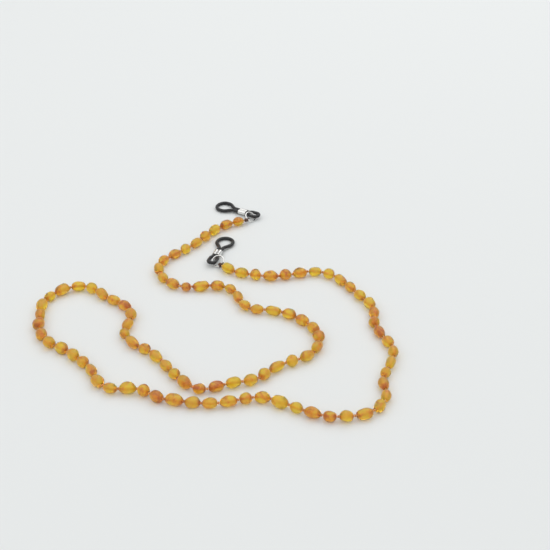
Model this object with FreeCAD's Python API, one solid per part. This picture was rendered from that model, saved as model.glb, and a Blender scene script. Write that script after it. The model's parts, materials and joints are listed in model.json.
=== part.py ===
import math
import os
from FreeCAD import Placement, Rotation, Vector
import Part

# Knotted bead strap that holds a pair of glasses: a strand of olive beads on a
# knotted thread, and at each end a steel ring, a rubber loop for the temple tip
# and a steel sleeve that tightens the loop. It lies spread out on a table.
# Millimetres. Z is up, the table is at z = 0, and X and Y are zero at the middle
# of the strap's box.

# Thread and knots
thread_diameter = 0.6
knot_diameter = 1.36
knot_length = 0.5
knot_end_face = 0.8           # diameter of the flat where the thread comes out
knot_flat = 0.2               # length at full diameter
knot_grip = 0.01              # radial gap between a knot and the thread inside it
end_knot_diameter = 2.0

# Beads
bead_count = 96
beads_per_node = 2
bead_diameter = 4.6           # of a middling bead
bead_bore = 1.3
bead_end_face = 1.7           # diameter of the flat round the bore
bead_gap = 1.0                # thread between two beads, taken up by a knot
first_bead_start = 1.5        # from the middle of the end knot
bead_length_cycle = (1.10, 0.99, 0.85, 1.12, 0.91, 1.05, 1.09, 0.83, 1.07, 0.97, 1.02)
bead_width_cycle = (1.00, 0.97, 1.04, 0.96, 1.02, 0.99, 1.05)
bead_belly_cycle = (0.50, 0.45, 0.54, 0.48, 0.56)

# Rings
ring_diameter = 6.4           # outside
ring_wire = 0.7
ring_split = 0.12             # gap where the wire's ends meet
ring_tilt = 35.0              # degrees, lying ring to table
eye_play = 0.1                # between the thread's eye and the ring's wire

# Rubber loops
rubber_diameter = 1.7
leg_gap = 0.05                # between the two legs in the sleeve
small_loop_width = 5.4        # outside
small_loop_straight = 2.4
small_loop_flare = 2.6
big_loop_width = 9.6          # outside
big_loop_straight = 1.0
big_loop_flare = 6.0
ring_offset = 0.9             # from the ring's middle to the leg that it holds

# Sleeves
sleeve_length = 4.4
sleeve_wall = 0.3
sleeve_play = 0.1             # between the sleeve and each leg
sleeve_seam = 0.15
sleeve_travel = 2.5
sleeve_end_play = 0.3         # from the sleeve to where the legs part

# The thread's way over the table, from one end knot to the other
route = [
    (1.5, 22.6), (5.6, 18.4), (14.0, 14.8), (25.0, 12.6), (36.0, 13.9), (46.5, 18.2),
    (57.0, 14.0), (63.8, 4.6), (70.2, -5.6), (75.2, -13.4), (72.4, -22.4), (76.0, -32.0),
    (81.3, -42.5), (77.5, -53.0), (73.0, -61.5), (75.6, -71.5), (69.5, -81.2), (57.0, -85.0),
    (44.6, -83.2), (32.5, -76.6), (21.5, -71.4), (8.0, -76.4), (-3.5, -76.6), (-13.2, -74.4),
    (-20.2, -73.6), (-26.8, -67.8), (-33.4, -67.4), (-41.6, -68.0), (-47.7, -62.6),
    (-50.6, -54.2), (-56.4, -48.8), (-63.0, -42.4), (-73.4, -37.2), (-79.0, -25.5),
    (-79.0, -17.0), (-80.9, -8.8), (-77.6, -2.2), (-67.8, 5.2), (-60.0, 4.9), (-51.8, -3.4),
    (-43.2, -8.2), (-37.4, -14.6), (-38.0, -23.2), (-39.8, -31.2), (-35.2, -38.0),
    (-27.6, -42.2), (-19.5, -50.6), (-12.6, -62.2), (-2.0, -69.4), (8.5, -63.8), (21.4, -62.2),
    (29.6, -51.8), (45.8, -46.0), (49.6, -31.2), (38.6, -18.6), (26.8, -13.0), (17.8, -14.0),
    (11.4, -8.0), (10.2, 0.4), (3.4, 5.4), (-5.0, 5.3), (-14.6, 3.8), (-22.7, 7.2),
    (-27.4, 14.4), (-29.2, 22.0), (-25.2, 28.8), (-17.6, 35.0), (-10.2, 43.0), (-3.2, 54.0),
    (5.6, 61.2), (13.2, 63.4),
]
route_shift = 1.45            # added to Y, so that zero is at the middle of the strap's box
arc_share = 0.45              # of the shorter run beside a corner, taken by its arc

# The two ends: where the rubber loop points, which of its legs the ring holds
# (1 right, -1 left), where on the ring the thread is tied, and how far up the
# small loop's leg the ring sits
ends = {
    "near": dict(knot=route[0], heading=73.0, side=1, tied_at=-55.0, up_leg=0.8),
    "far": dict(knot=route[-1], heading=150.0, side=-1, tied_at=180.0, up_leg=1.3),
}

thread_height = bead_diameter / 2
ring_radius = (ring_diameter - ring_wire) / 2
eye_radius = (ring_wire + thread_diameter) / 2 + eye_play
eye_reach = eye_radius + 0.4 * end_knot_diameter
up = Vector(0, 0, 1)


def on_strand(place):
    return Vector(place[0], place[1] + route_shift, thread_height)


def cylinder_along(start, direction, diameter, length):
    return Part.makeCylinder(diameter / 2, length, start, direction)


def smooth_edges(points):
    """Straight runs joined by tangent arcs, and the arcs' radii."""
    edges = []
    radii = []
    here = points[0]
    for before, corner, after in zip(points, points[1:], points[2:]):
        back = before - corner
        ahead = after - corner
        share = arc_share * min(back.Length, ahead.Length)
        half_turn = (math.pi - back.getAngle(ahead)) / 2
        radius = share / math.tan(half_turn)
        start = corner + back.normalize() * share
        end = corner + ahead.normalize() * share
        inward = (back + ahead).normalize()
        middle = corner + inward * (radius / math.cos(half_turn) - radius)
        edges.append(Part.LineSegment(here, start).toShape())
        edges.append(Part.Arc(start, middle, end).toShape())
        radii.append(radius)
        here = end
    edges.append(Part.LineSegment(here, points[-1]).toShape())
    return edges, radii


def sweep(wire, diameter):
    first = wire.Edges[0]
    start = first.valueAt(first.FirstParameter)
    section = Part.Circle(start, first.tangentAt(first.FirstParameter), diameter / 2)
    return wire.makePipeShell([Part.Wire(section.toShape())], True, True)


def point_along(edges, distance):
    for edge in edges:
        if distance <= edge.Length:
            return edge.valueAt(edge.getParameterByLength(distance))
        distance -= edge.Length
    return edges[-1].valueAt(edges[-1].LastParameter)


def bead_spans(strand_length):
    """Where each bead starts and ends along the thread."""
    shares = [bead_length_cycle[i % len(bead_length_cycle)] for i in range(bead_count)]
    beads_length = strand_length - 2 * first_bead_start - bead_gap * (bead_count - 1)
    unit = beads_length / sum(shares)
    spans = []
    at = first_bead_start
    for share in shares:
        spans.append((at, at + share * unit))
        at += share * unit + bead_gap
    return spans


def bead_body(length, width, belly):
    """An olive along X with its left face at 0, fattest at belly times its length."""
    end_angle = math.asin(bead_end_face / width)
    fat = belly * length
    left = fat / math.cos(end_angle)
    right = (length - fat) / math.cos(end_angle)
    half = width / 2
    face = bead_end_face / 2

    def bow(half_length, first, last):
        if half_length > half:
            curve = Part.Ellipse(Vector(fat, 0, 0), half_length, half)
            return Part.ArcOfEllipse(curve, first, last).toShape()
        curve = Part.Ellipse(Vector(fat, half, 0), Vector(fat + half_length, 0, 0), Vector(fat, 0, 0))
        return Part.ArcOfEllipse(curve, first - math.pi / 2, last - math.pi / 2).toShape()

    left_bow = bow(left, math.pi / 2, math.pi - end_angle)
    right_bow = bow(right, end_angle, math.pi / 2)
    outline = [
        Part.LineSegment(Vector(0, 0, 0), Vector(0, face, 0)).toShape(),
        left_bow,
        right_bow,
        Part.LineSegment(Vector(length, face, 0), Vector(length, 0, 0)).toShape(),
        Part.LineSegment(Vector(length, 0, 0), Vector(0, 0, 0)).toShape(),
    ]
    profile = Part.Face(Part.Wire(Part.__sortEdges__(outline)))
    return profile.revolve(Vector(0, 0, 0), Vector(1, 0, 0), 360)


def make_bead(edges, number, span):
    """The bead is straight and the thread bends, so the bore's middle lies halfway between them."""
    start = point_along(edges, span[0])
    end = point_along(edges, span[1])
    middle = point_along(edges, sum(span) / 2)
    direction = (end - start).normalize()
    length = span[1] - span[0]
    width = bead_diameter * bead_width_cycle[number % len(bead_width_cycle)]
    belly = bead_belly_cycle[number % len(bead_belly_cycle)]
    centre = (start + end) * 0.25 + middle * 0.5
    face = centre - direction * (length / 2)
    seat = Vector(face.x, face.y, width / 2)
    body = bead_body(length, width, belly)
    body.Placement = Placement(seat, Rotation(Vector(1, 0, 0), direction))
    bore = cylinder_along(face - direction * length, direction, bead_bore, 3 * length)
    return body.cut(bore)


def make_knot(edges, distance):
    """A small barrel on the thread, wound flat at both ends."""
    start = point_along(edges, distance - knot_length / 2)
    ahead = point_along(edges, distance + knot_length / 2) - start
    face = knot_end_face / 2
    side = (knot_length - knot_flat) / 2
    outline = Part.makePolygon([
        Vector(0, 0, 0), Vector(0, face, 0), Vector(side, knot_diameter / 2, 0),
        Vector(side + knot_flat, knot_diameter / 2, 0), Vector(knot_length, face, 0),
        Vector(knot_length, 0, 0), Vector(0, 0, 0)])
    knot = Part.Face(outline).revolve(Vector(0, 0, 0), Vector(1, 0, 0), 360)
    grip = thread_diameter + 2 * knot_grip
    hole = cylinder_along(Vector(-knot_length, 0, 0), Vector(1, 0, 0), grip, 3 * knot_length)
    knot = knot.cut(hole)
    knot.Placement = Placement(start, Rotation(Vector(1, 0, 0), ahead))
    return knot


def end_frame(end):
    """Where the ring and the loop of one end lie: their directions and middles."""
    heading = math.radians(end["heading"])
    tilt = math.radians(ring_tilt)
    tied = math.radians(end["tied_at"])
    along = Vector(math.cos(heading), math.sin(heading), 0)
    across = Vector(math.sin(heading), -math.cos(heading), 0)
    slope = along * math.cos(tilt) + up * math.sin(tilt)
    to_eye = across * math.cos(tied) + slope * math.sin(tied)
    outward = Vector(to_eye.x, to_eye.y, 0).normalize()
    knot = on_strand(end["knot"])
    lowest = ring_wire / 2 + ring_radius * math.sin(tilt)
    raised = eye_radius + thread_diameter / 2 - ring_radius * to_eye.z
    ring_height = max(lowest, raised)
    drop = knot.z - (ring_height + ring_radius * to_eye.z)
    eye = knot - outward * math.sqrt(eye_reach ** 2 - drop ** 2) - up * drop
    return dict(
        end,
        along=along,
        across=across,
        ring_normal=across.cross(slope),
        wire_direction=slope * math.cos(tied) - across * math.sin(tied),
        knot_at=knot,
        eye_at=eye,
        ring_at=eye - to_eye * ring_radius,
        split_direction=across * -math.cos(tied) + slope * math.sin(tied),
    )


def make_ring(frame):
    gap = math.degrees(ring_split / ring_radius)
    ring = Part.makeTorus(ring_radius, ring_wire / 2, Vector(0, 0, 0), up, 0, 360, 360 - gap)
    turn = Rotation(frame["split_direction"], Vector(0, 0, 0), frame["ring_normal"], "ZXY")
    ring.Placement = Placement(frame["ring_at"], turn)
    return ring


def make_end_knot(frame, thread_direction):
    """The thread's last knot, with the eye that is tied round the ring's wire."""
    ball = Part.makeSphere(end_knot_diameter / 2, frame["knot_at"])
    eye = Part.makeTorus(eye_radius, thread_diameter / 2, frame["eye_at"], frame["wire_direction"])
    grip = thread_diameter + 2 * knot_grip
    hole = cylinder_along(frame["knot_at"], thread_direction, grip, end_knot_diameter)
    return ball.fuse(eye).cut(hole)


def loop_outline():
    """The rubber's middle line in its own plane: X across, Y towards the big loop."""
    small = (small_loop_width - rubber_diameter) / 2
    big = (big_loop_width - rubber_diameter) / 2
    leg = (rubber_diameter + leg_gap) / 2
    neck = small_loop_straight + small_loop_flare
    fork = neck + sleeve_length + sleeve_travel + 2 * sleeve_end_play
    shoulder = fork + big_loop_flare
    top = shoulder + big_loop_straight

    def flare(low, high, start, end):
        """Two equal arcs from one straight line to a parallel one."""
        middle = (Vector(start, low, 0) + Vector(end, high, 0)) * 0.5
        step = end - start
        rise = high - low
        radius = (step ** 2 + rise ** 2) / (4 * abs(step))
        way = math.copysign(1, step)
        half_angle = math.atan2(abs(step), rise)
        out = radius * (1 - math.cos(half_angle))
        on = radius * math.sin(half_angle)
        first = Part.Arc(Vector(start, low, 0), Vector(start + way * out, low + on, 0), middle)
        last = Part.Arc(middle, Vector(end - way * out, high - on, 0), Vector(end, high, 0))
        return [first.toShape(), last.toShape()]

    right = [Part.LineSegment(Vector(small, 0, 0), Vector(small, small_loop_straight, 0)).toShape()]
    right += flare(small_loop_straight, neck, small, leg)
    right.append(Part.LineSegment(Vector(leg, neck, 0), Vector(leg, fork, 0)).toShape())
    right += flare(fork, shoulder, leg, big)
    right.append(Part.LineSegment(Vector(big, shoulder, 0), Vector(big, top, 0)).toShape())
    left = [edge.mirror(Vector(0, 0, 0), Vector(1, 0, 0)) for edge in right]
    bow = Part.Arc(Vector(big, top, 0), Vector(0, top + big, 0), Vector(-big, top, 0))
    tip = Part.Arc(Vector(-small, 0, 0), Vector(0, -small, 0), Vector(small, 0, 0))
    edges = right + [bow.toShape()] + left + [tip.toShape()]
    return Part.Wire(Part.__sortEdges__(edges)), neck, top + big


def loop_placement(frame, reach):
    """The loop's plane leans from the ring down to the table at its big end."""
    side = frame["side"]
    drop = frame["ring_at"].z - rubber_diameter / 2
    lean = math.asin(drop / (reach - frame["up_leg"]))
    ahead = frame["along"] * math.cos(lean) - up * math.sin(lean)
    leg_across = side * (small_loop_width - rubber_diameter) / 2
    leg_at = frame["ring_at"] - frame["across"] * (side * ring_offset)
    corner = leg_at - frame["across"] * leg_across - ahead * frame["up_leg"]
    turn = Rotation(frame["across"], ahead, frame["across"].cross(ahead), "XYZ")
    return Placement(corner, turn), leg_at, ahead


def make_sleeve(start):
    """A rolled double tube round the two legs, open along its seam."""
    leg = (rubber_diameter + leg_gap) / 2
    inside = rubber_diameter + 2 * sleeve_play
    outside = inside + 2 * sleeve_wall
    ahead = Vector(0, 1, 0)

    def pair(diameter, low, length):
        left = cylinder_along(Vector(-leg, low, 0), ahead, diameter, length)
        right = cylinder_along(Vector(leg, low, 0), ahead, diameter, length)
        return left.fuse(right)

    shell = pair(outside, start, sleeve_length)
    hollow = pair(inside, start - sleeve_length, 3 * sleeve_length)
    seam = Part.makeBox(sleeve_seam, 3 * sleeve_length, outside,
                        Vector(-sleeve_seam / 2, start - sleeve_length, 0))
    return shell.cut(hollow).cut(seam)


def save(name, solids):
    shape = solids[0] if len(solids) == 1 else Part.makeCompound(solids)
    for solid in shape.Solids:
        if not solid.isValid():
            print("not valid:", name)
    print(f"{name}: {len(shape.Solids)} solids, {shape.Volume:.2f} mm3")
    shape.exportStep(f"parts/{name}.step")


def show(label, vector):
    print(label, [round(value / 1000, 6) for value in vector])


os.makedirs("parts", exist_ok=True)

points = [on_strand(place) for place in route]
edges, radii = smooth_edges(points)
path = Part.Wire(edges)
thread = sweep(path, thread_diameter)
section_area = math.pi * thread_diameter ** 2 / 4
print(f"thread length {path.Length:.1f}, volume over section {thread.Volume / section_area:.1f}")
print("corner radii", [round(radius, 1) for radius in radii])
save("thread", [thread.Solids[0]])

spans = bead_spans(path.Length)
beads = [make_bead(edges, number, span) for number, span in enumerate(spans)]
for first in range(0, bead_count, beads_per_node):
    group = beads[first:first + beads_per_node]
    name = f"beads_{first + 1:02d}_{first + len(group):02d}"
    save(name, [solid for bead in group for solid in bead.Solids])

knots = [make_knot(edges, span[1] + bead_gap / 2) for span in spans[:-1]]
save("knots", [solid for knot in knots for solid in knot.Solids])

outline, neck, reach = loop_outline()
rubber = sweep(outline, rubber_diameter)
sleeve = make_sleeve(neck + sleeve_end_play)
thread_directions = {"near": points[1] - points[0], "far": points[-2] - points[-1]}
for name, end in ends.items():
    frame = end_frame(end)
    placement, leg_at, ahead = loop_placement(frame, reach)
    loop = rubber.copy()
    loop.Placement = placement
    band = sleeve.copy()
    band.Placement = placement
    save(f"end_knot_{name}", make_end_knot(frame, thread_directions[name]).Solids)
    save(f"ring_{name}", make_ring(frame).Solids)
    save(f"temple_loop_{name}", loop.Solids)
    save(f"sleeve_{name}", band.Solids)
    show(f"{name} ring pivot", frame["eye_at"])
    show(f"{name} ring pivot axis * 1000", frame["wire_direction"] * 1000)
    show(f"{name} loop pivot", leg_at)
    show(f"{name} sleeve axis * 1000", ahead * 1000)
    show(f"{name} loop middle", placement.multVec(Vector(0, reach - big_loop_width / 2, 0)))
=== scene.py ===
import json
import math
import random
import bmesh
import bpy
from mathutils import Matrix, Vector, noise


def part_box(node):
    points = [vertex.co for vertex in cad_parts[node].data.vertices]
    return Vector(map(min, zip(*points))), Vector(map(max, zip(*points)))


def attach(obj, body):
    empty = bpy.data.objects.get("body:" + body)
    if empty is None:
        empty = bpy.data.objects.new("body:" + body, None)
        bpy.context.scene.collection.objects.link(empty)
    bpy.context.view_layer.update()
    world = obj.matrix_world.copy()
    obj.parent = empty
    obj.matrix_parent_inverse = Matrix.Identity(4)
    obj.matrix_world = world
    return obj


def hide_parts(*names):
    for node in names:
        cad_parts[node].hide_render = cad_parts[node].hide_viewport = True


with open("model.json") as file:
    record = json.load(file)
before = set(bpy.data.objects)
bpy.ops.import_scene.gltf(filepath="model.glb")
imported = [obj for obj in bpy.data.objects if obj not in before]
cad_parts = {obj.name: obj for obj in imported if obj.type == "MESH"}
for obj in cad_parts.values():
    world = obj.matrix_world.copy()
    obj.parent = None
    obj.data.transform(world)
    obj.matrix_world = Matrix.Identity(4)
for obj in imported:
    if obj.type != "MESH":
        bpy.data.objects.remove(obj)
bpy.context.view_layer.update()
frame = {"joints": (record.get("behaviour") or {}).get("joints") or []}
scene = bpy.context.scene
scene.view_settings.view_transform = "Standard"

# Metres, Z up. The strap lies on the floor at z = 0.

view = {
    "aim": (0.0283, 0.01865, 0.0),
    "distance": 0.4878,
    "lookDown": 35.6,        # degrees below level
    "focalLength": 65.45,    # mm, on a 36 mm sensor
}

lookDown = math.radians(view["lookDown"])
cameraData = bpy.data.cameras.new("camera")
cameraData.lens = view["focalLength"]
cameraData.sensor_width = 36
cameraData.clip_start = 0.01
camera = bpy.data.objects.new("camera", cameraData)
backAndUp = Vector((0, -math.cos(lookDown), math.sin(lookDown)))
camera.location = Vector(view["aim"]) + view["distance"] * backAndUp
camera.rotation_euler = (math.pi / 2 - lookDown, 0, 0)
scene.collection.objects.link(camera)
scene.camera = camera
print("camera placed")


def newMaterial(name):
    material = bpy.data.materials.new(name)
    material.use_nodes = True
    tree = material.node_tree
    return material, tree, tree.nodes["Principled BSDF"]


def addNode(tree, kind, settings=None, values=None):
    node = tree.nodes.new(kind)
    for key, value in (settings or {}).items():
        setattr(node, key, value)
    for key, value in (values or {}).items():
        node.inputs[key].default_value = value
    return node


# Noise whose features are about size metres across
def addNoise(tree, place, size, detail=3.0, roughness=0.5, distortion=0.0):
    node = addNode(tree, "ShaderNodeTexNoise", values={
        "Scale": 1 / size, "Detail": detail, "Roughness": roughness, "Distortion": distortion})
    tree.links.new(place.outputs["Object"], node.inputs["Vector"])
    return node


def addRamp(tree, source, stops):
    node = tree.nodes.new("ShaderNodeValToRGB")
    ramp = node.color_ramp
    while len(ramp.elements) < len(stops):
        ramp.elements.new(0.5)
    for element, (position, colour) in zip(ramp.elements, stops):
        element.position = position
        element.color = (*colour, 1)
    tree.links.new(source, node.inputs["Fac"])
    return node


# Stacks height textures, each (socket, height in metres)
def addBump(tree, shader, layers):
    last = None
    for height, distance in layers:
        bump = addNode(tree, "ShaderNodeBump", values={"Strength": 1.0, "Distance": distance})
        tree.links.new(height, bump.inputs["Height"])
        if last:
            tree.links.new(last.outputs["Normal"], bump.inputs["Normal"])
        last = bump
    tree.links.new(last.outputs["Normal"], shader.inputs["Normal"])


amberLook = {
    "honey": (1.0, 0.715, 0.026),
    "orange": (1.0, 0.485, 0.024),
    "cognac": (0.64, 0.18, 0.020),
    "stops": (0.32, 0.54, 0.84),        # where the three colours sit on the ramp
    "cloudSize": 0.0036,
    "cloudWeight": 2.2,
    "veinSize": 0.0016,
    "veinWeight": 0.5,
    "dentSize": 0.0013,
    "dentHeight": 0.00005,
    "grainSize": 0.00035,
    "grainHeight": 0.00001,
    "roughness": (0.30, 0.46),
    "glowDepth": 0.0026,
    "glowSpread": (1.0, 0.45, 0.08),    # how far red, green and blue travel inside
    "refraction": 1.54,
    "clearness": 0.88,
    "sheen": 0.26,
    "sheenSpread": 0.4,
}


# Tumbled amber: frosted skin, cloudy inside, each bead's own tone and painted end shade from its vertices
def makeAmber():
    material, tree, shader = newMaterial("tumbledAmber")
    place = tree.nodes.new("ShaderNodeTexCoord")
    clouds = addNoise(tree, place, amberLook["cloudSize"], detail=4.0, distortion=0.6)
    veins = addNoise(tree, place, amberLook["veinSize"], detail=5.0, roughness=0.6, distortion=1.2)
    # the bead's own tone, with painted shade darkening it towards the drilled ends
    toneAndPaintedShade = addNode(tree, "ShaderNodeAttribute", {"attribute_name": "toneAndPaintedShade"})
    mixed = addNode(tree, "ShaderNodeMath", {"operation": "MULTIPLY_ADD"}, {1: amberLook["cloudWeight"]})
    tree.links.new(clouds.outputs["Fac"], mixed.inputs[0])
    tree.links.new(toneAndPaintedShade.outputs["Fac"], mixed.inputs[2])
    fine = addNode(tree, "ShaderNodeMath", {"operation": "MULTIPLY_ADD"}, {1: amberLook["veinWeight"]})
    tree.links.new(veins.outputs["Fac"], fine.inputs[0])
    tree.links.new(mixed.outputs["Value"], fine.inputs[2])
    tones = [amberLook[tone] for tone in ("honey", "orange", "cognac")]
    colour = addRamp(tree, fine.outputs["Value"], list(zip(amberLook["stops"], tones)))
    tree.links.new(colour.outputs["Color"], shader.inputs["Base Color"])
    grain = addNoise(tree, place, amberLook["grainSize"], roughness=0.6)
    low, high = amberLook["roughness"]
    rough = addNode(tree, "ShaderNodeMapRange", values={"To Min": low, "To Max": high})
    tree.links.new(grain.outputs["Fac"], rough.inputs["Value"])
    tree.links.new(rough.outputs["Result"], shader.inputs["Roughness"])
    dents = addNoise(tree, place, amberLook["dentSize"], detail=2.0)
    addBump(tree, shader, [
        (dents.outputs["Fac"], amberLook["dentHeight"]), (grain.outputs["Fac"], amberLook["grainHeight"])])
    shader.inputs["Subsurface Weight"].default_value = 1.0
    shader.inputs["Subsurface Radius"].default_value = amberLook["glowSpread"]
    shader.inputs["Subsurface Scale"].default_value = amberLook["glowDepth"]
    shader.inputs["IOR"].default_value = amberLook["refraction"]
    shader.inputs["Transmission Weight"].default_value = amberLook["clearness"]
    shader.inputs["Sheen Weight"].default_value = amberLook["sheen"]
    shader.inputs["Sheen Roughness"].default_value = amberLook["sheenSpread"]
    return material


boreLook = {
    "waxSize": 0.0005,
    "waxed": (1.0, 0.97, 0.90),
    "clear": (1.0, 1.0, 1.0),
}


# The bore's wall, wetted by the cord's wax: light passes it unbent
def makeWaxedBore():
    material, tree, shader = newMaterial("waxedBore")
    place = tree.nodes.new("ShaderNodeTexCoord")
    wax = addNoise(tree, place, boreLook["waxSize"], roughness=0.6)
    tint = addRamp(tree, wax.outputs["Fac"], [(0.35, boreLook["waxed"]), (0.65, boreLook["clear"])])
    tree.links.new(tint.outputs["Color"], shader.inputs["Base Color"])
    shader.inputs["Roughness"].default_value = 0.0
    shader.inputs["IOR"].default_value = 1.0
    shader.inputs["Specular IOR Level"].default_value = 0.0
    shader.inputs["Transmission Weight"].default_value = 1.0
    return material


cordLook = {
    "fibreSize": 0.00018,
    "fibreHeight": 0.00006,
    "patchSize": 0.0012,
    "roughness": 0.55,
    "sheen": 0.2,
}


# Waxed cord: fine fibres over paler and darker patches, the wax as a soft sheen
def makeCordMaterial(name, dark, light):
    material, tree, shader = newMaterial(name)
    place = tree.nodes.new("ShaderNodeTexCoord")
    fibres = addNoise(tree, place, cordLook["fibreSize"], detail=4.0, roughness=0.7)
    patches = addNoise(tree, place, cordLook["patchSize"], detail=2.0)
    blend = addNode(tree, "ShaderNodeMath", {"operation": "MULTIPLY_ADD"}, {1: 0.5})
    half = addNode(tree, "ShaderNodeMath", {"operation": "MULTIPLY"}, {1: 0.5})
    tree.links.new(patches.outputs["Fac"], half.inputs[0])
    tree.links.new(fibres.outputs["Fac"], blend.inputs[0])
    tree.links.new(half.outputs["Value"], blend.inputs[2])
    colour = addRamp(tree, blend.outputs["Value"], [(0.35, dark), (0.65, light)])
    tree.links.new(colour.outputs["Color"], shader.inputs["Base Color"])
    addBump(tree, shader, [(fibres.outputs["Fac"], cordLook["fibreHeight"])])
    shader.inputs["Roughness"].default_value = cordLook["roughness"]
    shader.inputs["Sheen Weight"].default_value = cordLook["sheen"]
    return material


steelLook = {
    "scratchSize": 0.0003,
    "scratchHeight": 0.000008,
    "scratchShade": 0.85,        # share of the metal's colour that a scratch keeps
    "smudgeSize": 0.002,
    "smudged": (0.7, 1.5),       # least and most of the metal's own roughness
}


# Bright plated steel with fine handling scratches
def makeSteel(name, colour, roughness):
    material, tree, shader = newMaterial(name)
    place = tree.nodes.new("ShaderNodeTexCoord")
    scratches = addNoise(tree, place, steelLook["scratchSize"], detail=5.0, roughness=0.7, distortion=1.5)
    smudges = addNoise(tree, place, steelLook["smudgeSize"], detail=2.0)
    least, most = steelLook["smudged"]
    rough = addNode(tree, "ShaderNodeMapRange", values={
        "From Min": 0.3, "From Max": 0.7, "To Min": roughness * least, "To Max": roughness * most})
    tree.links.new(smudges.outputs["Fac"], rough.inputs["Value"])
    tree.links.new(rough.outputs["Result"], shader.inputs["Roughness"])
    scratched = tuple(channel * steelLook["scratchShade"] for channel in colour)
    tint = addRamp(tree, scratches.outputs["Fac"], [(0.3, scratched), (0.7, colour)])
    tree.links.new(tint.outputs["Color"], shader.inputs["Base Color"])
    addBump(tree, shader, [(scratches.outputs["Fac"], steelLook["scratchHeight"])])
    shader.inputs["Metallic"].default_value = 1.0
    return material


rubberLook = {
    "clean": (0.006, 0.006, 0.007),
    "dusty": (0.019, 0.019, 0.020),
    "dustSize": 0.0007,
    "dustHeight": 0.00004,
    "poreSize": 0.00012,
    "poreHeight": 0.00001,
    "roughness": (0.24, 0.42),
}


# Smooth black rubber, greyer and duller where dust clings
def makeRubber():
    material, tree, shader = newMaterial("blackRubber")
    place = tree.nodes.new("ShaderNodeTexCoord")
    dust = addNoise(tree, place, rubberLook["dustSize"], detail=4.0, roughness=0.6)
    pores = addNoise(tree, place, rubberLook["poreSize"], detail=2.0)
    colour = addRamp(tree, dust.outputs["Fac"], [(0.35, rubberLook["clean"]), (0.75, rubberLook["dusty"])])
    tree.links.new(colour.outputs["Color"], shader.inputs["Base Color"])
    low, high = rubberLook["roughness"]
    rough = addNode(tree, "ShaderNodeMapRange", values={"To Min": low, "To Max": high})
    tree.links.new(dust.outputs["Fac"], rough.inputs["Value"])
    tree.links.new(rough.outputs["Result"], shader.inputs["Roughness"])
    addBump(tree, shader, [
        (pores.outputs["Fac"], rubberLook["poreHeight"]), (dust.outputs["Fac"], rubberLook["dustHeight"])])
    return material


amber = makeAmber()
waxedBore = makeWaxedBore()
strandCord = makeCordMaterial("strandCord", (0.82, 0.46, 0.16), (0.95, 0.62, 0.26))
knotCord = makeCordMaterial("knotCord", (0.52, 0.18, 0.045), (0.80, 0.35, 0.11))
endCord = makeCordMaterial("endCord", (0.035, 0.012, 0.006), (0.10, 0.035, 0.015))
ringSteel = makeSteel("ringSteel", (0.86, 0.86, 0.84), 0.16)
sleeveSteel = makeSteel("sleeveSteel", (0.82, 0.82, 0.80), 0.20)
rubber = makeRubber()
print("materials made")


thread = {
    "diameter": 0.0006,
    "height": 0.0023,        # of its middle over the table
    "length": 0.713,
    "shift": 0.00145,        # moves the whole route in Y, to the middle of the strap's box
    "steps": 12,             # points that the curve gets between two of the route's
    "facets": 3,
}
threadRoute = [
    (0.0015, 0.0226), (0.0056, 0.0184), (0.0140, 0.0148), (0.0250, 0.0126), (0.0360, 0.0139),
    (0.0465, 0.0182), (0.0570, 0.0140), (0.0638, 0.0046), (0.0702, -0.0056), (0.0752, -0.0134),
    (0.0724, -0.0224), (0.0760, -0.0320), (0.0813, -0.0425), (0.0775, -0.0530), (0.0730, -0.0615),
    (0.0756, -0.0715), (0.0695, -0.0812), (0.0570, -0.0850), (0.0446, -0.0832), (0.0325, -0.0766),
    (0.0215, -0.0714), (0.0080, -0.0764), (-0.0035, -0.0766), (-0.0132, -0.0744), (-0.0202, -0.0736),
    (-0.0268, -0.0678), (-0.0334, -0.0674), (-0.0416, -0.0680), (-0.0477, -0.0626), (-0.0506, -0.0542),
    (-0.0564, -0.0488), (-0.0630, -0.0424), (-0.0734, -0.0372), (-0.0790, -0.0255), (-0.0790, -0.0170),
    (-0.0809, -0.0088), (-0.0776, -0.0022), (-0.0678, 0.0052), (-0.0600, 0.0049), (-0.0518, -0.0034),
    (-0.0432, -0.0082), (-0.0374, -0.0146), (-0.0380, -0.0232), (-0.0398, -0.0312), (-0.0352, -0.0380),
    (-0.0276, -0.0422), (-0.0195, -0.0506), (-0.0126, -0.0622), (-0.0020, -0.0694), (0.0085, -0.0638),
    (0.0214, -0.0622), (0.0296, -0.0518), (0.0458, -0.0460), (0.0496, -0.0312), (0.0386, -0.0186),
    (0.0268, -0.0130), (0.0178, -0.0140), (0.0114, -0.0080), (0.0102, 0.0004), (0.0034, 0.0054),
    (-0.0050, 0.0053), (-0.0146, 0.0038), (-0.0227, 0.0072), (-0.0274, 0.0144), (-0.0292, 0.0220),
    (-0.0252, 0.0288), (-0.0176, 0.0350), (-0.0102, 0.0430), (-0.0032, 0.0540), (0.0056, 0.0612),
    (0.0132, 0.0634),
]


def makeStrandCurve(name, diameter):
    curve = bpy.data.curves.new(name, "CURVE")
    curve.dimensions = "3D"
    curve.resolution_u = thread["steps"]
    curve.bevel_depth = diameter / 2
    curve.bevel_resolution = thread["facets"]
    curve.use_fill_caps = diameter > 0
    spline = curve.splines.new("NURBS")
    spline.points.add(len(threadRoute) - 1)
    for point, (x, y) in zip(spline.points, threadRoute):
        point.co = (x, y + thread["shift"], thread["height"], 1)
    spline.order_u = 3
    spline.use_endpoint_u = True
    strand = bpy.data.objects.new(name, curve)
    scene.collection.objects.link(strand)
    return strand


cord = makeStrandCurve("strandThread", thread["diameter"])
cord.data.materials.append(strandCord)
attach(cord, "strand")
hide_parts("thread")

centreLine = makeStrandCurve("centreLine", 0)
bpy.context.view_layer.update()
centreMesh = bpy.data.meshes.new_from_object(centreLine)
strandPoints = [vertex.co.copy() for vertex in centreMesh.vertices]
bpy.data.objects.remove(centreLine)
strandRuns = [(b - a).length for a, b in zip(strandPoints, strandPoints[1:])]
strandLength = sum(strandRuns)
print(f"thread laid, {strandLength:.4f} m")


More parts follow.
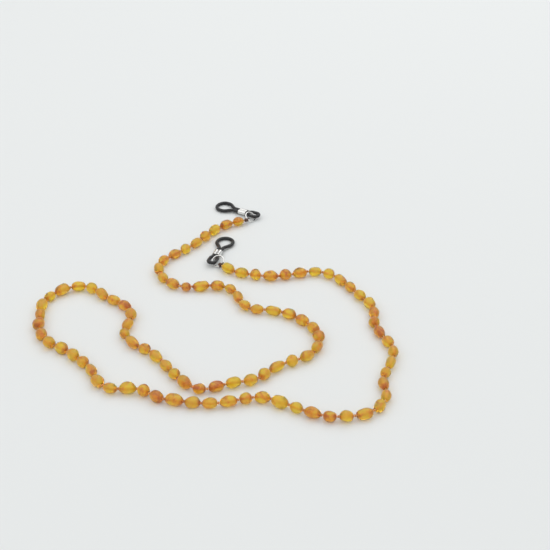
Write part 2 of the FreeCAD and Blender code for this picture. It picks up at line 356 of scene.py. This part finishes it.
def pointOnStrand(distance):
    for start, end, run in zip(strandPoints, strandPoints[1:], strandRuns):
        if distance <= run and run > 0:
            return start.lerp(end, distance / run)
        distance -= run
    return strandPoints[-1].copy()


beads = {
    "count": 96,
    "firstStart": 0.0015,
    "gap": 0.0010,
    "lengths": (1.10, 0.99, 0.85, 1.12, 0.91, 1.05, 1.09, 0.83, 1.07, 0.97, 1.02),
    "reach": 0.00022,                # how far an end may pass or fall short of its place
    "slip": 0.00030,                 # how far a knot may be from its even place
    "width": (0.0046, 0.0054),       # thinnest and fattest
    "flatness": (0.90, 1.0),
    "belly": 0.20,                   # how far the fattest place may lie off the middle
    "stoutest": 1.0,                 # most that a bead's width may be of its length
    "taper": (0.82, 1.25),           # below 1 is plump, above 1 is pointed
    "bore": 0.0010,
    "boreRing": 0.20,                # where the bore's inner ring of points lies, as a share of the length
    "lipDepth": (0.00018, 0.00004),  # where the bore's lip starts and ends, below the end face
    "lipWidth": 0.00006,
    "endFace": 0.0015,
    "bend": 0.00030,
    "skew": 0.15,                    # how far a bead may lean off its bore
    "lobes": 0.040,                  # how far the section may be out of round, as a share
    "lumps": 0.00030,
    "lumpScale": 380,
    "settle": 0.00002,               # how near to the table the belly is let down
    "lowest": 0.00003,               # no point of a bead ends up lower than this
    "rings": 24,
    "sides": 30,
    "seed": 5,
    "endPaintedShade": 0.34,                # painted shade: how much darker the skin is made towards the drilled ends, where the beads meet
    "endPaintedShadeFade": 2.5,                  # above 1 keeps that painted shade close to the ends
    # slot of each pair of beads in turn, and how dark that slot's beads are
    "slots": ("amber_honey", "amber_orange", "amber_cognac", "amber_honey", "amber_orange"),
    "tones": {
        "amber_honey": (-1.18, -1.00),
        "amber_orange": (-1.08, -0.90),
        "amber_cognac": (-1.00, -0.80),
    },
}
dice = random.Random(beads["seed"])


def beadSpans():
    shares = [beads["lengths"][i % len(beads["lengths"])] for i in range(beads["count"])]
    free = strandLength - 2 * beads["firstStart"] - beads["gap"] * (beads["count"] - 1)
    unit = free / sum(shares)
    spans = []
    at = beads["firstStart"]
    for share in shares:
        spans.append([at, at + share * unit])
        at += share * unit + beads["gap"]
    for before, after in zip(spans, spans[1:]):      # no two knots sit quite evenly
        slip = dice.uniform(-beads["slip"], beads["slip"])
        before[1] += slip
        after[0] += slip
    return spans


# One tumbled bead: its own width, belly, bend, lumps and tone, with painted shade towards its ends,
# drilled end to end
def makeBead(number, span, slot):
    reach = beads["reach"]
    span = (span[0] - dice.uniform(-reach, reach), span[1] + dice.uniform(-reach, reach))
    start, end = pointOnStrand(span[0]), pointOnStrand(span[1])
    middle = pointOnStrand(sum(span) / 2)
    along = (end - start).normalized()
    length = (end - start).length
    centre = (start + end) * 0.25 + middle * 0.5
    width = min(dice.uniform(*beads["width"]), length * beads["stoutest"])
    flat = dice.uniform(*beads["flatness"])
    belly = dice.uniform(-beads["belly"], beads["belly"])
    taper = dice.uniform(*beads["taper"])
    bend = dice.uniform(-1, 1) * beads["bend"]
    skew = dice.uniform(-1, 1) * beads["skew"]
    roll = dice.uniform(0, 2 * math.pi)
    lobes = [(k, dice.uniform(0, beads["lobes"] / k), dice.uniform(0, 2 * math.pi)) for k in (1, 2, 3)]
    drift = Vector((dice.uniform(0, 9), dice.uniform(0, 9), dice.uniform(0, 9)))
    boreRadius, faceRadius = beads["bore"] / 2, beads["endFace"] / 2
    rings, sides = beads["rings"], beads["sides"]

    # outline along the bead: out of the bore, over the back and into the bore again
    lipStart, lipEnd = beads["lipDepth"]
    rim = [
        (beads["boreRing"] * length, boreRadius),
        (0.5 * length - lipStart, boreRadius),
        (0.5 * length - lipEnd, boreRadius + beads["lipWidth"]),
    ]
    profile = [(-x, radius, 0.0) for x, radius in rim]
    firstTurn = math.asin((2 * faceRadius / width) ** (1 / taper))
    for i in range(rings + 1):
        turn = firstTurn + (math.pi - 2 * firstTurn) * i / rings
        radius = width / 2 * math.sin(turn) ** taper
        x = -math.cos(turn) / math.cos(firstTurn) / 2
        swell = max(0.0, (radius - faceRadius) / (width / 2 - faceRadius))
        profile.append(((x + belly * 0.5 * (0.25 - x * x)) * length, radius, swell))
    profile += [(x, radius, 0.0) for x, radius in reversed(rim)]

    side = along.cross(Vector((0, 0, 1))).normalized()
    rise = side.cross(along)
    points = []
    for x, radius, swell in profile:
        for j in range(sides):
            angle = 2 * math.pi * j / sides
            lobe = 1 + swell * sum(size * math.cos(k * angle + phase) for k, size, phase in lobes)
            spot = Vector((x, radius * lobe * math.cos(angle) + (bend + skew * x) * swell,
                           radius * lobe * math.sin(angle) * (1 - (1 - flat) * swell)))
            push = noise.noise(spot * beads["lumpScale"] + drift) * beads["lumps"] * swell
            spot += Vector((0, math.cos(angle), math.sin(angle))) * push
            y = spot.y * math.cos(roll) - spot.z * math.sin(roll)
            z = spot.y * math.sin(roll) + spot.z * math.cos(roll)
            points.append(centre + along * spot.x + side * y + rise * z)
    # sits the belly on the table and leaves the drilled ends on the thread
    drop = min(point.z for point in points) - beads["settle"]
    for i, point in enumerate(points):
        point.z = max(beads["lowest"], point.z - drop * profile[i // sides][2])
    loops = len(profile)
    faces = []
    for i in range(loops):
        for j in range(sides):
            a, b = i * sides + j, i * sides + (j + 1) % sides
            c, d = ((i + 1) % loops) * sides + (j + 1) % sides, ((i + 1) % loops) * sides + j
            faces.append((a, d, c, b))
    mesh = bpy.data.meshes.new(f"bead{number:02d}")
    mesh.from_pydata(points, [], faces)
    mesh.shade_smooth()
    tone = dice.uniform(*beads["tones"][slot])
    # each point gets the bead's own tone plus painted shade that darkens the skin towards the drilled ends
    toneAndPaintedShade = mesh.attributes.new("toneAndPaintedShade", "FLOAT", "POINT")
    toneAndPaintedShadeValues = [tone + beads["endPaintedShade"] * abs(2 * x / length) ** beads["endPaintedShadeFade"] for x, _, _ in profile]
    toneAndPaintedShade.data.foreach_set("value", [value for value in toneAndPaintedShadeValues for _ in range(sides)])
    mesh.materials.append(amber)
    mesh.materials.append(waxedBore)
    for face in mesh.polygons:
        if face.index // sides in (0, loops - 2, loops - 1):
            face.material_index = 1
    bead = bpy.data.objects.new(f"bead{number:02d}", mesh)
    scene.collection.objects.link(bead)
    return bead


spans = beadSpans()
for number, span in enumerate(spans, 1):
    pair = (number - 1) // 2
    slot = beads["slots"][pair % len(beads["slots"])]
    bead = makeBead(number, span, slot)
    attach(bead, "strand")
    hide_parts(f"beads_{2 * pair + 1:02d}_{2 * pair + 2:02d}")
print(f"{len(spans)} beads shaped")


knots = {
    "strand": 0.00046,       # cord's diameter where it is pulled tight
    "radius": 0.00050,
    "thickness": 0.00020,
    "points": 18,
    "sight": 0.0004,         # how far each way the thread's direction is read
}


# One overhand knot round the thread, as a closed spline
def tieKnot(curve, middle, along, turn):
    side = along.cross(Vector((0, 0, 1))).normalized()
    rise = side.cross(along)
    spline = curve.splines.new("NURBS")
    spline.points.add(knots["points"] - 1)
    for i, point in enumerate(spline.points):
        t = 2 * math.pi * i / len(spline.points)
        y = (math.sin(t) + 2 * math.sin(2 * t)) / 3 * knots["radius"]
        z = (math.cos(t) - 2 * math.cos(2 * t)) / 3 * knots["radius"]
        x = -math.sin(3 * t) * knots["thickness"]
        y, z = y * math.cos(turn) - z * math.sin(turn), y * math.sin(turn) + z * math.cos(turn)
        spot = middle + along * x + side * y + rise * z
        point.co = (*spot, 1)
    spline.order_u = 4
    spline.use_cyclic_u = True


# Turns a finished curve into a mesh piece that rides on its body
def asMesh(curve, name, material, body):
    bpy.context.view_layer.update()
    mesh = bpy.data.meshes.new_from_object(curve)
    bpy.data.objects.remove(curve)
    mesh.name = name
    mesh.materials.clear()
    mesh.materials.append(material)
    mesh.shade_smooth()
    piece = bpy.data.objects.new(name, mesh)
    scene.collection.objects.link(piece)
    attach(piece, body)
    return piece


def newTube(diameter, steps, facets):
    curve = bpy.data.curves.new("tube", "CURVE")
    curve.dimensions = "3D"
    curve.resolution_u = steps
    curve.bevel_depth = diameter / 2
    curve.bevel_resolution = facets
    curve.use_fill_caps = True
    tube = bpy.data.objects.new("tube", curve)
    scene.collection.objects.link(tube)
    return tube


knotTube = newTube(knots["strand"], steps=3, facets=1)
for (_, before), (after, _) in zip(spans, spans[1:]):
    at = (before + after) / 2
    along = (pointOnStrand(at + knots["sight"]) - pointOnStrand(at - knots["sight"])).normalized()
    tieKnot(knotTube.data, pointOnStrand(at), along, dice.uniform(0, 2 * math.pi))
knotPiece = asMesh(knotTube, "strandKnots", knotCord, "strand")
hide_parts("knots")
print("knots tied")


# which leg the ring holds, and how far up it sits
ends = {
    "near": {"held": 1, "upLeg": 0.0008},
    "far": {"held": -1, "upLeg": 0.0013},
}
joints = {joint["name"]: joint for joint in frame["joints"]}


# One end's places and directions, from the frame's joints and the thread's last stretch
def layOut(name):
    end = dict(ends[name])
    low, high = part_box(f"ring_{name}")
    end["ringAt"] = (Vector(low) + Vector(high)) / 2
    end["eyeAt"] = Vector(joints[f"ring_swing_{name}"]["pos_m"])
    end["wireAlong"] = Vector(joints[f"ring_swing_{name}"]["axis"]).normalized()
    end["legAt"] = Vector(joints[f"loop_swivel_{name}"]["pos_m"])
    end["ahead"] = Vector(joints[f"sleeve_slide_{name}"]["axis"]).normalized()
    end["across"] = end["ahead"].cross(Vector((0, 0, 1))).normalized()
    end["loopNormal"] = end["across"].cross(end["ahead"])
    end["knotAt"] = strandPoints[0] if name == "near" else strandPoints[-1]
    towards = strandPoints[1] if name == "near" else strandPoints[-2]
    end["threadAlong"] = (towards - end["knotAt"]).normalized()
    return end


# Skins a tube whose path lies in one plane, with a radius for each point and a ridge along each side
def skinFlatTube(name, path, planeNormal, radii, sides, closed, ridge=0.0, ridgeSharpness=60):
    points = []
    count = len(path)
    for i, spot in enumerate(path):
        before = path[i - 1] if i or closed else path[0]
        after = path[(i + 1) % count] if i + 1 < count or closed else path[-1]
        outward = (after - before).normalized().cross(planeNormal)
        for j in range(sides):
            angle = 2 * math.pi * j / sides
            lift = ridge * abs(math.cos(angle)) ** ridgeSharpness
            reach = radii[i] + lift
            points.append(spot + outward * (reach * math.cos(angle))
                          + planeNormal * (reach * math.sin(angle)))
    faces = []
    for i in range(count if closed else count - 1):
        for j in range(sides):
            a, b = i * sides + j, i * sides + (j + 1) % sides
            c, d = ((i + 1) % count) * sides + (j + 1) % sides, ((i + 1) % count) * sides + j
            faces.append((a, b, c, d))
    if not closed:
        faces.append(tuple(range(sides - 1, -1, -1)))
        faces.append(tuple(range((count - 1) * sides, count * sides)))
    mesh = bpy.data.meshes.new(name)
    mesh.from_pydata(points, [], faces)
    fixed = bmesh.new()
    fixed.from_mesh(mesh)
    bmesh.ops.recalc_face_normals(fixed, faces=fixed.faces)
    fixed.to_mesh(mesh)
    fixed.free()
    mesh.shade_smooth()
    return mesh


def placePiece(name, mesh, material, body, node):
    mesh.materials.append(material)
    piece = bpy.data.objects.new(name, mesh)
    scene.collection.objects.link(piece)
    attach(piece, body)
    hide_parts(node)
    return piece


ring = {
    "wire": 0.0007,
    "gap": 2.4,              # degrees between the cut ends
    "spring": 0.00008,       # how far the cut ends miss each other sideways
    "outOfRound": 0.00004,
    "filedTip": 0.72,        # share of the wire's thickness at the very end
    "filedShoulder": 0.97,
    "filedBack": 0.9,        # share of the last step that the filed end keeps
    "filedStep": 0.45,       # where the shoulder lies on it
    "steps": 90,
    "sides": 16,
}


# One turn of bent wire with its two cut ends a hair apart and filed round
def bendRing(name, end):
    radius = (end["eyeAt"] - end["ringAt"]).length
    toEye = (end["eyeAt"] - end["ringAt"]) / radius
    normal = toEye.cross(end["wireAlong"]).normalized()
    if normal.cross(end["across"]).z < 0:
        normal = -normal
    # the cut mirrors the eye over the line up the ring's slope
    slope = normal.cross(end["across"])
    split = (slope * toEye.dot(slope) - end["across"] * toEye.dot(end["across"])).normalized()
    splitSide = normal.cross(split)
    half = ring["wire"] / 2
    path = []
    radii = []
    for i in range(ring["steps"] + 1):
        share = i / ring["steps"]
        angle = math.radians(ring["gap"] / 2 + (360 - ring["gap"]) * share)
        reach = radius + ring["outOfRound"] * math.cos(2 * angle)
        spot = split * (reach * math.cos(angle)) + splitSide * (reach * math.sin(angle))
        miss = ring["spring"] * (share - 0.5) * abs(2 * share - 1) ** 3
        path.append(end["ringAt"] + spot + normal * miss)
        radii.append(half)
    # filed ends: a shoulder and a smaller tip round the cut
    for tip, inner, shoulder in ((0, 1, 1), (-1, -2, -1)):
        radii[tip] = half * ring["filedTip"]
        path[tip] = path[inner].lerp(path[tip], ring["filedBack"])
        path.insert(shoulder, path[inner].lerp(path[tip], ring["filedStep"]))
        radii.insert(shoulder, half * ring["filedShoulder"])
    return skinFlatTube(name, path, normal, radii, ring["sides"], False)


templeLoop = {
    "rubber": 0.0017,
    "smallHalf": 0.00185,    # from the middle line to the rubber's own middle
    "bigHalf": 0.00395,
    "legHalf": 0.000875,
    "levels": (0.0024, 0.0050, 0.0125, 0.0185, 0.0195),   # up the loop: flare, neck, fork, shoulder, top
    "partingRidge": 0.00004,
    "wander": 0.00022,       # how far the soft big loop strays from its mould
    "wanderScale": 120,
    "swelling": 0.02,        # how much its thickness varies, as a share
    "swellingScale": 400,
    "firmLength": 0.001,     # past the fork the legs still hold their line
    "softening": 0.005,      # and then give way over this length
    "step": 0.00035,
    "sides": 40,
}


# From the loop's middle line to the rubber's own middle, at a height up the loop
def loopHalfWidth(height):
    flare, neck, fork, shoulder, _ = templeLoop["levels"]
    if height < neck:
        share = max(0.0, (height - flare) / (neck - flare))
        low, high = templeLoop["smallHalf"], templeLoop["legHalf"]
    else:
        share = min(1.0, max(0.0, (height - fork) / (shoulder - fork)))
        low, high = templeLoop["legHalf"], templeLoop["bigHalf"]
    return low + (high - low) * (1 - math.cos(math.pi * share)) / 2


# The middle of the loop's small end, which the ring's leg stands off from
def loopStart(end):
    offLeg = end["across"] * (end["held"] * templeLoop["smallHalf"])
    return end["legAt"] - offLeg - end["ahead"] * end["upLeg"]


def halfTurn(radius, height, firstAngle):
    count = round(math.pi * radius / templeLoop["step"])
    angles = [firstAngle + math.pi * i / count for i in range(count)]
    return [(radius * math.cos(angle), height + radius * math.sin(angle)) for angle in angles]


# Moulded rubber: a small loop for the ring, two legs side by side and a big loop for the temple tip
def mouldLoop(name, end):
    _, _, fork, _, top = templeLoop["levels"]
    count = round(top / templeLoop["step"])
    heights = [top * i / count for i in range(count + 1)]
    outline = [(loopHalfWidth(y), y) for y in heights[:-1]]
    outline += halfTurn(templeLoop["bigHalf"], top, 0.0)
    outline += [(-loopHalfWidth(y), y) for y in reversed(heights[1:])]
    outline += halfTurn(templeLoop["smallHalf"], 0.0, math.pi)
    corner = loopStart(end)
    path = []
    radii = []
    scale, fine = templeLoop["wanderScale"], templeLoop["swellingScale"]
    for x, y in outline:
        free = min(1.0, max(0.0, (y - fork - templeLoop["firmLength"]) / templeLoop["softening"]))
        drift = noise.noise(Vector((x * scale, y * scale, end["held"] * 7))) * templeLoop["wander"] * free
        path.append(corner + end["across"] * (x + drift) + end["ahead"] * y)
        thick = noise.noise(Vector((x * fine, y * fine, 3.0))) * templeLoop["swelling"] * free
        radii.append(templeLoop["rubber"] / 2 * (1 + thick))
    return skinFlatTube(name, path, end["loopNormal"], radii, templeLoop["sides"], True,
                        templeLoop["partingRidge"])


sleeve = {
    "start": 0.0053,         # up the loop from the middle of its small end
    "length": 0.0044,
    "wall": 0.0003,
    "tube": 0.0011,          # radius of each half, to the middle of the wall
    "apart": 0.000875,       # from the middle line to each half's own middle
    "seam": 0.00010,         # half the gap between the strip's edges
    "arcSteps": 26,
    "rows": 10,
    "waist": 0.00003,        # how far the middle is pinched in
    "crease": 0.6,           # share of its depth that the crease under the legs keeps
    "edge": 0.00009,
    "edgeSteps": 3,
    "edgeAngle": 50,         # degrees from which an edge is rounded
}


# One strip of steel, rolled round both legs until its edges meet in the groove between them
def rollSleeve(name, end):
    firstTurn = math.pi - math.acos((sleeve["apart"] - sleeve["seam"]) / sleeve["tube"])
    lastTurn = -math.pi + math.acos(sleeve["apart"] / sleeve["tube"])
    right = []
    for i in range(sleeve["arcSteps"] + 1):
        turn = firstTurn + (lastTurn - firstTurn) * i / sleeve["arcSteps"]
        right.append((sleeve["apart"] + sleeve["tube"] * math.cos(turn), sleeve["tube"] * math.sin(turn)))
    left = [(-x, z) for x, z in reversed(right[:-1])]
    strip = right + left
    valley = len(right) - 1
    for i in (valley - 1, valley, valley + 1):       # eases the crease under the legs
        beside = (strip[i - 2][1] + strip[i + 2][1]) * (1 - sleeve["crease"]) / 2
        strip[i] = (strip[i][0], strip[i][1] * sleeve["crease"] + beside)
    corner = loopStart(end)
    points = []
    for row in range(sleeve["rows"] + 1):
        share = row / sleeve["rows"]
        y = sleeve["start"] + sleeve["length"] * share
        inward = 1 - sleeve["waist"] * math.sin(math.pi * share) / sleeve["tube"]
        for x, z in strip:
            points.append(corner + end["across"] * (x * inward) + end["ahead"] * y
                          + end["loopNormal"] * (z * inward))
    wide = len(strip)
    faces = [(row * wide + i, row * wide + i + 1, (row + 1) * wide + i + 1, (row + 1) * wide + i)
             for row in range(sleeve["rows"]) for i in range(wide - 1)]
    mesh = bpy.data.meshes.new(name)
    mesh.from_pydata(points, [], faces)
    blank = bpy.data.objects.new(name, mesh)
    scene.collection.objects.link(blank)
    wall = blank.modifiers.new("wall", "SOLIDIFY")
    wall.thickness = sleeve["wall"]
    wall.offset = 0
    wall.use_even_offset = True
    edge = blank.modifiers.new("edge", "BEVEL")
    edge.width = sleeve["edge"]
    edge.segments = sleeve["edgeSteps"]
    edge.limit_method = "ANGLE"
    edge.angle_limit = math.radians(sleeve["edgeAngle"])
    bpy.context.view_layer.update()
    rolled = bpy.data.meshes.new_from_object(blank.evaluated_get(bpy.context.evaluated_depsgraph_get()))
    bpy.data.objects.remove(blank)
    rolled.name = name
    rolled.shade_smooth()
    return rolled


endKnot = {
    "cord": 0.00056,
    "turns": 4,
    "turnSteps": 8,
    "pitch": 0.00042,
    "radius": 0.00064,       # to the middle of the wound cord
    "bulge": 0.14,           # how much wider the winding is at its middle
    "eye": 0.00075,
    "eyePlay": 1.02,
    "eyeOpening": 60,        # degrees left open towards the knot
    "eyeSteps": 10,
    "eyeLean": 0.00014,      # how far each side of the eye stands off along the wire
    "tail": 0.0013,
}


# The last knot: cord wound round itself, an eye round the ring's wire and a short tail
def windEndKnot(end):
    tube = newTube(endKnot["cord"], steps=6, facets=3)
    along = -end["threadAlong"]
    side = along.cross(Vector((0, 0, 1))).normalized()
    rise = side.cross(along)
    half = endKnot["turns"] * endKnot["pitch"] / 2
    wound = []
    steps = endKnot["turns"] * endKnot["turnSteps"]
    for i in range(steps + 1):
        angle = 2 * math.pi * i / endKnot["turnSteps"]
        offset = -half + 2 * half * i / steps
        swell = 1 + endKnot["bulge"] * math.cos(math.pi * offset / (2 * half))
        reach = endKnot["radius"] * swell
        wound.append(end["knotAt"] + along * offset + side * (reach * math.cos(angle))
                     + rise * (reach * math.sin(angle)))
    # the tail leaves the winding sideways and leans towards the beads
    tail = end["knotAt"] - along * (half * 0.2) + (side * 0.8 + rise * 0.6) * endKnot["radius"]
    tailTip = tail + (side * 0.8 + rise * 0.45 - along * 0.5).normalized() * endKnot["tail"]
    wrap = end["wireAlong"]
    towards = end["knotAt"] - end["eyeAt"]
    towards = (towards - wrap * towards.dot(wrap)).normalized()
    across = wrap.cross(towards)
    eye = []
    opening, eyeSteps = endKnot["eyeOpening"], endKnot["eyeSteps"]
    for i in range(eyeSteps + 1):
        angle = math.radians(opening / 2 + (360 - opening) * i / eyeSteps)
        spot = towards * math.cos(angle) + across * math.sin(angle)
        lean = endKnot["eyeLean"] * (i - eyeSteps / 2) / (eyeSteps / 2)
        eye.append(end["eyeAt"] + spot * endKnot["eye"] * endKnot["eyePlay"] + wrap * lean)
    # the eye's cord comes out of the winding and goes back into it
    inside = end["knotAt"] - along * (half * 0.4)
    wayOut = end["knotAt"] + along * half * 0.7
    wayBack = end["knotAt"] + along * half * 0.5
    eye = [inside, wayOut] + eye + [wayBack, inside]
    for route in (wound, eye, [tail, tail.lerp(tailTip, 0.5), tailTip]):
        spline = tube.data.splines.new("NURBS")
        spline.points.add(len(route) - 1)
        for point, spot in zip(spline.points, route):
            point.co = (*spot, 1)
        spline.order_u = 3
        spline.use_endpoint_u = True
    return tube


for name in ends:
    end = layOut(name)
    placePiece(f"wireRing_{name}", bendRing(f"wireRing_{name}", end), ringSteel,
               f"ring_{name}_body", f"ring_{name}")
    placePiece(f"rubberLoop_{name}", mouldLoop(f"rubberLoop_{name}", end), rubber,
               f"loop_{name}_body", f"temple_loop_{name}")
    placePiece(f"rolledSleeve_{name}", rollSleeve(f"rolledSleeve_{name}", end), sleeveSteel,
               f"sleeve_{name}_body", f"sleeve_{name}")
    woundKnot = asMesh(windEndKnot(end), f"woundKnot_{name}", endCord, "strand")
    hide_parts(f"end_knot_{name}")
print("rings, loops, sleeves and end knots made")

studio = {
    "floorReach": 4,
    "floorColour": (0.735, 0.755, 0.752),
    "floorRoughness": 0.9,
    "floorShine": 0.1,
    "wallColour": (0.735, 0.745, 0.742),
    "curtainColour": (0.36, 0.36, 0.37),
    "ceilingColour": (1, 1, 1),
    "worldStrength": 1.15,
    "lampPower": 0.56,
    "lampSize": 0.8,
    # where each lamp hangs, and how many times the lamp power it has
    "lamps": {
        "softboxBack": ((0.25, 0.55, 0.75), 2.6),
        "softboxLeft": ((-0.8, -0.1, 0.7), 1.0),
    },
}

reach = studio["floorReach"]
floorMesh = bpy.data.meshes.new("floor")
floorCorners = [(-reach, -reach, 0), (reach, -reach, 0), (reach, reach, 0), (-reach, reach, 0)]
floorMesh.from_pydata(floorCorners, [], [(0, 1, 2, 3)])
floor = bpy.data.objects.new("floor", floorMesh)
floorMaterial, _, floorShader = newMaterial("paleTable")
floorShader.inputs["Base Color"].default_value = (*studio["floorColour"], 1)
floorShader.inputs["Roughness"].default_value = studio["floorRoughness"]
floorShader.inputs["Specular IOR Level"].default_value = studio["floorShine"]
floorMesh.materials.append(floorMaterial)
scene.collection.objects.link(floor)

# The room is bright overhead, with a grey curtain along the walls that draws the edges of the metal
world = bpy.data.worlds.new("studio")
world.use_nodes = True
worldTree = world.node_tree
worldPlace = worldTree.nodes.new("ShaderNodeTexCoord")
worldSplit = worldTree.nodes.new("ShaderNodeSeparateXYZ")
worldTree.links.new(worldPlace.outputs["Generated"], worldSplit.inputs["Vector"])
worldFade = addRamp(worldTree, worldSplit.outputs["Z"], [
    (0.0, studio["wallColour"]), (0.14, studio["wallColour"]),
    (0.20, studio["curtainColour"]), (0.42, studio["curtainColour"]), (0.60, studio["ceilingColour"])])
worldTree.links.new(worldFade.outputs["Color"], worldTree.nodes["Background"].inputs["Color"])
worldTree.nodes["Background"].inputs["Strength"].default_value = studio["worldStrength"]
scene.world = world


# Hangs a square lamp that faces the middle of the strap
def addLamp(name, place, power):
    data = bpy.data.lights.new(name, "AREA")
    data.shape = "SQUARE"
    data.size = studio["lampSize"]
    data.energy = power
    lamp = bpy.data.objects.new(name, data)
    lamp.location = place
    lamp.rotation_euler = (-Vector(place)).to_track_quat("-Z", "Y").to_euler()
    scene.collection.objects.link(lamp)


for name, (place, share) in studio["lamps"].items():
    addLamp(name, place, share * studio["lampPower"])
print("floor and light set")
